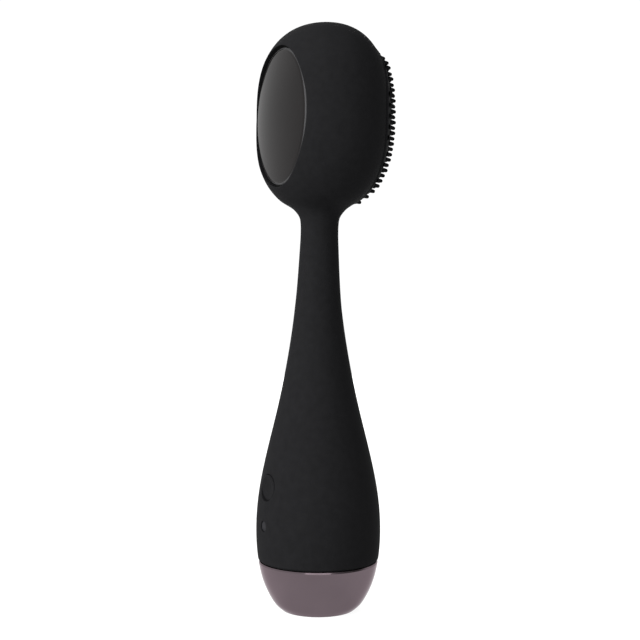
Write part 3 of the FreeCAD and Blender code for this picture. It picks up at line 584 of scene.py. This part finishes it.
class Paint:
    """Node builder for one procedural material."""

    def __init__(self, name):
        self.material = bpy.data.materials.new(name)
        self.material.use_nodes = True
        self.tree = self.material.node_tree
        self.nodes = self.tree.nodes
        self.links = self.tree.links
        self.shader = self.nodes["Principled BSDF"]
        self.place = self.nodes.new("ShaderNodeTexCoord").outputs["Object"]

    def noise(self, grain, detail=3.0, stretch=(1, 1, 1)):
        """Noise whose lumps are about one grain wide, in metres."""
        mapping = self.nodes.new("ShaderNodeMapping")
        mapping.inputs["Scale"].default_value = stretch
        self.links.new(self.place, mapping.inputs["Vector"])
        node = self.nodes.new("ShaderNodeTexNoise")
        node.inputs["Scale"].default_value = 1 / grain
        node.inputs["Detail"].default_value = detail
        self.links.new(mapping.outputs["Vector"], node.inputs["Vector"])
        return node.outputs["Fac"]

    def mix(self, kind, factor, first, second):
        """Mix of two values, each a socket or a constant."""
        node = self.nodes.new("ShaderNodeMix")
        node.data_type = kind
        self.links.new(factor, node.inputs["Factor"])
        for name, value in (("A", first), ("B", second)):
            if isinstance(value, bpy.types.NodeSocket):
                self.links.new(value, node.inputs[name])
            else:
                node.inputs[name].default_value = value
        return node.outputs["Result"]

    def colour(self, value, dark, light):
        """Mix of two colours by a noise."""
        share = map_range(self.tree, value, NOISE_RANGE, (0, 1))
        mixed = self.mix("RGBA", share, (*dark, 1), (*light, 1))
        self.links.new(mixed, self.shader.inputs["Base Color"])

    def bump(self, value, height):
        """Fine relief of the surface, height in metres."""
        node = self.nodes.new("ShaderNodeBump")
        node.inputs["Distance"].default_value = height
        node.inputs["Strength"].default_value = 1.0
        self.links.new(value, node.inputs["Height"])
        self.links.new(node.outputs["Normal"], self.shader.inputs["Normal"])

    def roughness(self, value, low, high):
        """Roughness that wanders between two values."""
        wandering = map_range(self.tree, value, NOISE_RANGE, (low, high))
        self.links.new(wandering, self.shader.inputs["Roughness"])

    def ground_edge_and_highlight(self, middle, half_width, half_height):
        """Lighter and rougher ring near the rim of an upright oval face; its lighter colour is partly a
        ground edge and partly a painted highlight.
        """
        centred = self.nodes.new("ShaderNodeVectorMath")
        centred.operation = "SUBTRACT"
        centred.inputs[1].default_value = middle
        self.links.new(self.place, centred.inputs[0])
        scaled = self.nodes.new("ShaderNodeVectorMath")
        scaled.operation = "MULTIPLY"
        scaled.inputs[1].default_value = (1 / half_width, 0, 1 / half_height)
        self.links.new(centred.outputs["Vector"], scaled.inputs[0])
        reach = self.nodes.new("ShaderNodeVectorMath")
        reach.operation = "LENGTH"
        self.links.new(scaled.outputs["Vector"], reach.inputs[0])
        share = map_range(self.tree, reach.outputs["Value"], EDGE_RANGE, (0, 1), "SMOOTHSTEP")
        for name, kind, at_edge in (("Base Color", "RGBA", (*EDGE_GROUND_AND_HIGHLIGHT_COLOUR, 1)),
                                    ("Roughness", "FLOAT", EDGE_ROUGHNESS)):
            on_face = self.shader.inputs[name].links[0].from_socket
            self.links.new(self.mix(kind, share, on_face, at_edge), self.shader.inputs[name])


Finish = namedtuple("Finish", "roughness metallic variation grain relief stretch sockets")


def finish(roughness, metallic=0.0, variation=0.12, grain=0.6, relief=0.004, stretch=(1, 1, 1), **sockets):
    """How one kind of surface looks; grain and relief in millimetres."""
    return Finish(roughness, metallic, variation, grain, relief, stretch, sockets)


SOFT = {"Specular IOR Level": 0.015}
FINISHES = {
    "silicone": finish(0.72, variation=0.10, grain=0.35, relief=0.003, **SOFT),
    "bristle": finish(0.6, variation=0.12, grain=0.3, relief=0.003, **SOFT),
    "stone": finish(0.11, variation=0.22, grain=6.0, relief=0.0, **{"Specular IOR Level": 0.11}),
    "seal": finish(0.7, grain=0.3, relief=0.003, **SOFT),
    "cap_metal": finish(0.16, metallic=1.0, variation=0.06, grain=3.0, relief=0.0004,
                        **{"Specular Tint": (0.75, 0.7, 0.72, 1)}),
    "shell": finish(0.5, grain=0.4, relief=0.005),
    "insert": finish(0.42, grain=0.5, relief=0.004),
    "steel": finish(0.3, metallic=1.0, grain=0.5, relief=0.001, stretch=(1, 1, 0.1)),
    "brass": finish(0.32, metallic=1.0, grain=0.5, relief=0.001, stretch=(1, 1, 0.2)),
    "copper": finish(0.35, metallic=1.0, grain=0.25, relief=0.004, stretch=(1, 1, 0.3)),
    "magnet": finish(0.6, grain=0.3, relief=0.006),
    "film": finish(0.35, grain=1.2, relief=0.002),
    "spreader": finish(0.35, metallic=1.0, grain=0.6, relief=0.001, stretch=(0.1, 1, 1)),
    "foam": finish(0.9, variation=0.25, grain=0.35, relief=0.03),
    "board": finish(0.4, grain=0.8, relief=0.002),
    "chip": finish(0.5, grain=0.25, relief=0.004),
    "ceramic": finish(0.45, grain=0.3, relief=0.004),
    "lamp": finish(0.15, grain=0.5, relief=0.001),
    "lens": finish(0.4, grain=0.8, relief=0.001, **SOFT),
    "cell": finish(0.25, metallic=0.6, grain=1.5, relief=0.001),
    "wire_red": finish(0.5, grain=0.4, relief=0.003),
    "wire_white": finish(0.5, grain=0.4, relief=0.003),
}
# Colours seen from outside, matched.
SEEN = {
    "silicone": (0.0058, 0.0058, 0.0062),
    "bristle": (0.0045, 0.0045, 0.0050),
    "stone": (0.005, 0.0045, 0.0045),
    "seal": (0.003, 0.003, 0.003),
    "cap_metal": (0.128, 0.100, 0.112),
    "lens": (0.010, 0.010, 0.011),
}
# The ground ring of the stone, between two shares of the way out to its rim; its lighter colour is partly
# the ground finish and partly a painted highlight of light caught on the stone's edge.
EDGE_RANGE = (0.965, 0.985)
EDGE_GROUND_AND_HIGHLIGHT_COLOUR = (0.028, 0.028, 0.029)
EDGE_ROUGHNESS = 0.4
# Broad clouds are this many grains wide, and roughness strays from its mean by this share.
CLOUD_GRAINS = 6
CLOUD_DETAIL = 4.0
FINE_DETAIL = 2.0
ROUGHNESS_STRAY = 0.06


def make_material(slot, base):
    """Procedural material of one slot: wandering colour and roughness over a fine relief."""
    look = FINISHES[slot]
    paint = Paint(slot)
    base = SEEN.get(slot, base)
    clouds = paint.noise(look.grain * CLOUD_GRAINS * MM, CLOUD_DETAIL, look.stretch)
    dark, light = ([channel * (1 + change) for channel in base]
                   for change in (-look.variation, look.variation))
    paint.colour(clouds, dark, light)
    paint.roughness(clouds, look.roughness * (1 - ROUGHNESS_STRAY), look.roughness * (1 + ROUGHNESS_STRAY))
    # The stone gets a lighter ring at its rim: partly a ground edge, partly a painted highlight standing in
    # for light caught on its edge.
    if slot == "stone":
        low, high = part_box("massage_stone")
        paint.ground_edge_and_highlight((low + high) / 2, STONE_HALF_WIDTH, STONE_HALF_HEIGHT)
    if look.relief:
        paint.bump(paint.noise(look.grain * MM, FINE_DETAIL, look.stretch), look.relief * MM)
    paint.shader.inputs["Metallic"].default_value = look.metallic
    for socket, value in look.sockets.items():
        paint.shader.inputs[socket].default_value = value
    return paint.material


def paint_piece(piece, material):
    """Give a piece one material."""
    piece.data.materials.clear()
    piece.data.materials.append(material)


# ---- making the object -------------------------------------------------------------------------

stone_hole = opening("stone_gasket", side=1, lip=0.45 * MM, depth=3.2 * MM, gap=0.05 * MM, tilt=STONE_TILT)
brush_hole = opening("brush_pad", side=-1, lip=0.35 * MM, depth=SKIN_THICKNESS, gap=0.05 * MM)
button_hole = opening("button_pad", side=1, lip=0.25 * MM, depth=1.6 * MM, gap=0.12 * MM)
# The lens is wider inside the skin than its window, so its opening is not taken from its box.
lens_hole = opening("indicator_lens", side=1, lip=0.15 * MM, depth=SKIN_THICKNESS, gap=0.0)
lens_hole = lens_hole._replace(half_width=LENS_RADIUS + LENS_GAP, half_height=LENS_RADIUS + LENS_GAP)
stone_seat = stone_hole._replace(centre=np.array([0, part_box("massage_stone")[1].y, stone_hole.centre[2]]))

materials = {entry["slot"]: make_material(entry["slot"], entry["base_color"])
             for entry in frame["record"]["materials"]}
for entry in frame["record"]["subparts"]:
    paint_piece(frame["nodes"][entry["node"]], materials[entry["material_slot"]])

for piece, body, nodes, slot in (
    (add_skin([stone_hole, brush_hole, button_hole, lens_hole]), "handle", ["silicone_skin"], "silicone"),
    (add_brush(brush_hole), "handle", ["brush_pad"], "bristle"),
    (add_stone(stone_seat), "handle", ["massage_stone"], "stone"),
    (add_button(button_hole), "button", ["button_pad"], "silicone"),
    (add_lens(lens_hole), "handle", ["indicator_lens"], "lens"),
    (add_cap(), "screw_cap", ["end_cap"], "cap_metal"),
):
    paint_piece(piece, materials[slot])
    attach(piece, body)
    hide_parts(*nodes)


# ---- stage, lights and camera ------------------------------------------------------------------

# The camera is fitted to the object's outline in the photo; lens and sensor are in millimetres.
CAMERA_AZIMUTH = math.radians(240)
CAMERA_DISTANCE = 0.346
CAMERA_HEIGHT = 0.09256
FOCAL_LENGTH = 62.98
SENSOR_WIDTH = 36
CAMERA_SHIFT = (0.0028, -0.0193)
TO_CAMERA = Vector((math.sin(CAMERA_AZIMUTH), -math.cos(CAMERA_AZIMUTH), 0))
TO_RIGHT = Vector((-TO_CAMERA.y, TO_CAMERA.x, 0))
UP = Vector((0, 0, 1))


def add_camera():
    """Level camera at the photo's viewing angle."""
    data = bpy.data.cameras.new("camera")
    data.lens = FOCAL_LENGTH
    data.sensor_width = SENSOR_WIDTH
    data.shift_x, data.shift_y = CAMERA_SHIFT
    camera = bpy.data.objects.new("camera", data)
    camera.location = TO_CAMERA * CAMERA_DISTANCE + UP * CAMERA_HEIGHT
    camera.rotation_euler = (-TO_CAMERA).to_track_quat("-Z", "Y").to_euler()
    bpy.context.scene.collection.objects.link(camera)
    bpy.context.scene.camera = camera


def add_softbox(name, direction, distance, width, height, power, glossy=True):
    """Area light that shines on the middle of the object; power in watts, lengths in metres."""
    data = bpy.data.lights.new(name, "AREA")
    data.shape = "RECTANGLE"
    data.size = width
    data.size_y = height
    data.energy = power
    light = bpy.data.objects.new(name, data)
    aim = Vector((0, 0, cad_box[1].z / 2))
    light.location = aim + direction.normalized() * distance
    light.rotation_euler = (aim - light.location).to_track_quat("-Z", "Y").to_euler()
    light.visible_glossy = glossy
    bpy.context.scene.collection.objects.link(light)


WHITE = (1, 1, 1, 1)
SKY_STRENGTH = 1.05
DARK_SIDE_STRENGTH = 0.12
# How far a direction points to the camera's right where the sky starts to darken and where it is darkest.
DARKENING = (0.0, 0.9)
# Height of a direction, as the sine of its elevation, over which the white horizon ends.
HORIZON = (0.28, 0.38)


def add_world():
    """White studio with a white horizon all round, darker above it on the brush's side."""
    world = bpy.data.worlds.new("studio")
    world.use_nodes = True
    tree = world.node_tree
    nodes, links = tree.nodes, tree.links
    place = nodes.new("ShaderNodeTexCoord")
    facing = nodes.new("ShaderNodeVectorMath")
    facing.operation = "DOT_PRODUCT"
    facing.inputs[1].default_value = TO_RIGHT
    links.new(place.outputs["Generated"], facing.inputs[0])
    split = nodes.new("ShaderNodeSeparateXYZ")
    links.new(place.outputs["Generated"], split.inputs["Vector"])
    sky = map_range(tree, facing.outputs["Value"], DARKENING, (SKY_STRENGTH, DARK_SIDE_STRENGTH),
                    "SMOOTHSTEP")
    band = map_range(tree, split.outputs["Z"], HORIZON, (SKY_STRENGTH, 0), "SMOOTHSTEP")
    brighter = nodes.new("ShaderNodeMath")
    brighter.operation = "MAXIMUM"
    links.new(sky, brighter.inputs[0])
    links.new(band, brighter.inputs[1])
    links.new(brighter.outputs["Value"], nodes["Background"].inputs["Strength"])
    nodes["Background"].inputs["Color"].default_value = WHITE
    bpy.context.scene.world = world


FLOOR_RADII = (0.05, 0.2, 0.8, 3.0, 12.0)
FLOOR_POINTS = 64
# Shades of the floor's clouds, the spread of its roughness, and the width of the lumps of each.
FLOOR_SHADES = (0.12, 0.14)
FLOOR_SHADE_GRAIN = 0.4
FLOOR_ROUGHNESS = (0.85, 0.95)
FLOOR_ROUGHNESS_GRAIN = 0.1
FLOOR_GLOW = 0.92


def add_floor():
    """Pale seamless floor."""
    shell = Shell()
    loops = [ring(radius, 0.0, FLOOR_POINTS) for radius in FLOOR_RADII]
    first = shell.loop(loops[0])
    shell.close(first, (0, 0, 0))
    shell.chain(loops[1:], first)
    floor = shell.build("floor")
    paint = Paint("floor")
    dark, light = ([shade] * 3 for shade in FLOOR_SHADES)
    paint.colour(paint.noise(FLOOR_SHADE_GRAIN), dark, light)
    paint.roughness(paint.noise(FLOOR_ROUGHNESS_GRAIN), *FLOOR_ROUGHNESS)
    paint.shader.inputs["Specular IOR Level"].default_value = 0.0
    paint.shader.inputs["Emission Color"].default_value = WHITE
    paint.shader.inputs["Emission Strength"].default_value = FLOOR_GLOW
    paint_piece(floor, paint.material)


add_camera()
add_world()
add_floor()
add_softbox("key", direction=TO_CAMERA - TO_RIGHT * 1.3 + UP * 0.45, distance=1.1, width=0.8, height=0.9,
            power=38, glossy=False)
add_softbox("back", direction=UP * 0.4 - TO_CAMERA, distance=1.1, width=0.8, height=0.9, power=25,
            glossy=False)
add_softbox("overhead", direction=UP + TO_CAMERA * 0.7, distance=0.9, width=0.8, height=0.8, power=4)
add_softbox("band", direction=TO_RIGHT * 0.87 + TO_CAMERA * 0.5, distance=0.9, width=0.25, height=0.6,
            power=1.1)
bpy.context.scene.view_settings.view_transform = "Standard"
